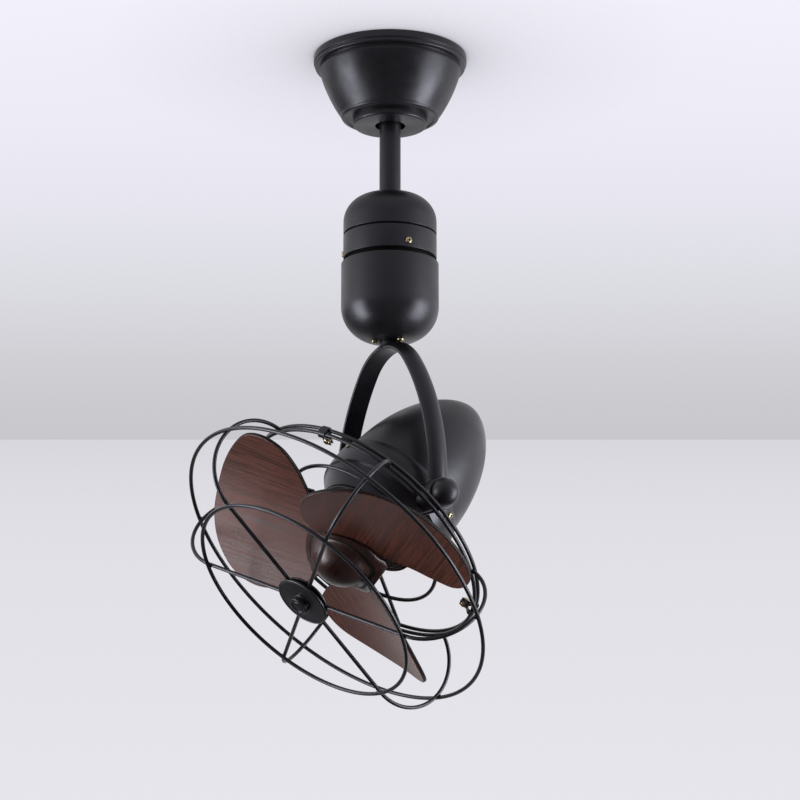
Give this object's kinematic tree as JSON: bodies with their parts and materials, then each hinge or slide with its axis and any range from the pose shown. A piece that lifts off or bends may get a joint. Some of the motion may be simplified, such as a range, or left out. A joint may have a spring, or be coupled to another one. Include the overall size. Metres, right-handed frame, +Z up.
{
  "type": "low profile ceiling fan",
  "caption": "Low profile ceiling fan: a caged wooden-bladed head tilts in an arched yoke below a turning motor housing, a short downrod and a bowl canopy.",
  "frame": {"origin": "centre of the bracket's two slots on the ceiling plane, which is also the centre of the canopy's rim", "axes": "+Z up along the downrod and the turning axis, +X along the tilt pivots, the fan head faces -Y and down at rest"},
  "size_m": [0.3452, 0.3049, 0.6578],
  "materials": {
    "black_paint": "satin",
    "steel": "satin",
    "brass": "satin",
    "walnut": "semi-gloss",
    "copper_wire": "satin",
    "capacitor_case": "matte",
    "brush_block": "matte"
  },
  "bodies": {
    "ceiling_unit": {"ceiling_bracket": "steel", "canopy": "black_paint", "canopy_screws": "brass", "canopy_cover": "black_paint", "hanger_ball": "black_paint", "ball_pin": "steel", "downrod": "black_paint", "rod_coupling": "steel", "coupling_pin": "steel", "upper_cap": "black_paint", "band_ring": "black_paint", "band_screws": "brass", "base_cup": "black_paint", "spindle": "steel", "spindle_nut": "steel", "upper_bearing": "steel", "lower_bearing": "steel", "oscillation_motor": "steel", "slip_ring": "brass"},
    "turning_unit": {"lower_housing": "black_paint", "housing_screws": "brass", "turning_hub": "steel", "turning_gear": "brass", "brush_block": "brush_block", "yoke": "black_paint", "yoke_nut": "steel"},
    "pinion": {"drive_pinion": "brass"},
    "fan_head": {"rear_hood": "black_paint", "hood_screws": "brass", "motor_can": "black_paint", "front_end_bell": "black_paint", "rear_end_plate": "steel", "stator_core": "steel", "stator_windings": "copper_wire", "front_bearing": "steel", "rear_bearing": "steel", "run_capacitor": "capacitor_case", "tilt_hub_right": "black_paint", "tilt_hub_left": "black_paint", "tilt_washers": "steel", "rear_guard": "black_paint", "rear_rings": "black_paint", "guard_screws": "brass", "front_guard": "black_paint", "front_rings": "black_paint", "guard_clips": "black_paint", "clip_screws": "brass", "badge": "black_paint", "badge_plate": "black_paint"},
    "rotor": {"motor_shaft": "steel", "rotor_core": "steel", "blade_carrier": "black_paint", "blade_1": "walnut", "blade_2": "walnut", "blade_3": "walnut", "blade_screws": "brass", "spinner": "walnut", "hub_nut": "steel"},
    "right_knob": {"knob_right": "black_paint"},
    "left_knob": {"knob_left": "black_paint"}
  },
  "joints": [
    {"name": "housing_turn", "type": "hinge", "parent": "ceiling_unit", "child": "turning_unit", "pos_m": [0, 0, -0.25], "axis": [0, 0, 1], "continuous": true},
    {"name": "pinion_turn", "type": "hinge", "parent": "ceiling_unit", "child": "pinion", "pos_m": [0, 0.029, -0.22], "axis": [0, 0, 1], "continuous": true},
    {"name": "head_tilt", "type": "hinge", "parent": "turning_unit", "child": "fan_head", "pos_m": [0, 0, -0.4666], "axis": [1, 0, 0], "range_deg": [-45, 130]},
    {"name": "fan_spin", "type": "hinge", "parent": "fan_head", "child": "rotor", "pos_m": [0, -0.00354, -0.46336], "axis": [0, -0.6756, -0.7373], "continuous": true},
    {"name": "right_knob_turn", "type": "hinge", "parent": "fan_head", "child": "right_knob", "pos_m": [0.0975, 0, -0.4666], "axis": [1, 0, 0], "range_deg": [0, 540]},
    {"name": "left_knob_turn", "type": "hinge", "parent": "fan_head", "child": "left_knob", "pos_m": [-0.0975, 0, -0.4666], "axis": [-1, 0, 0], "range_deg": [0, 540]}
  ],
  "couplings": [
    {"joint": "pinion_turn", "follows": "housing_turn", "ratio": -3.8333}
  ]
}
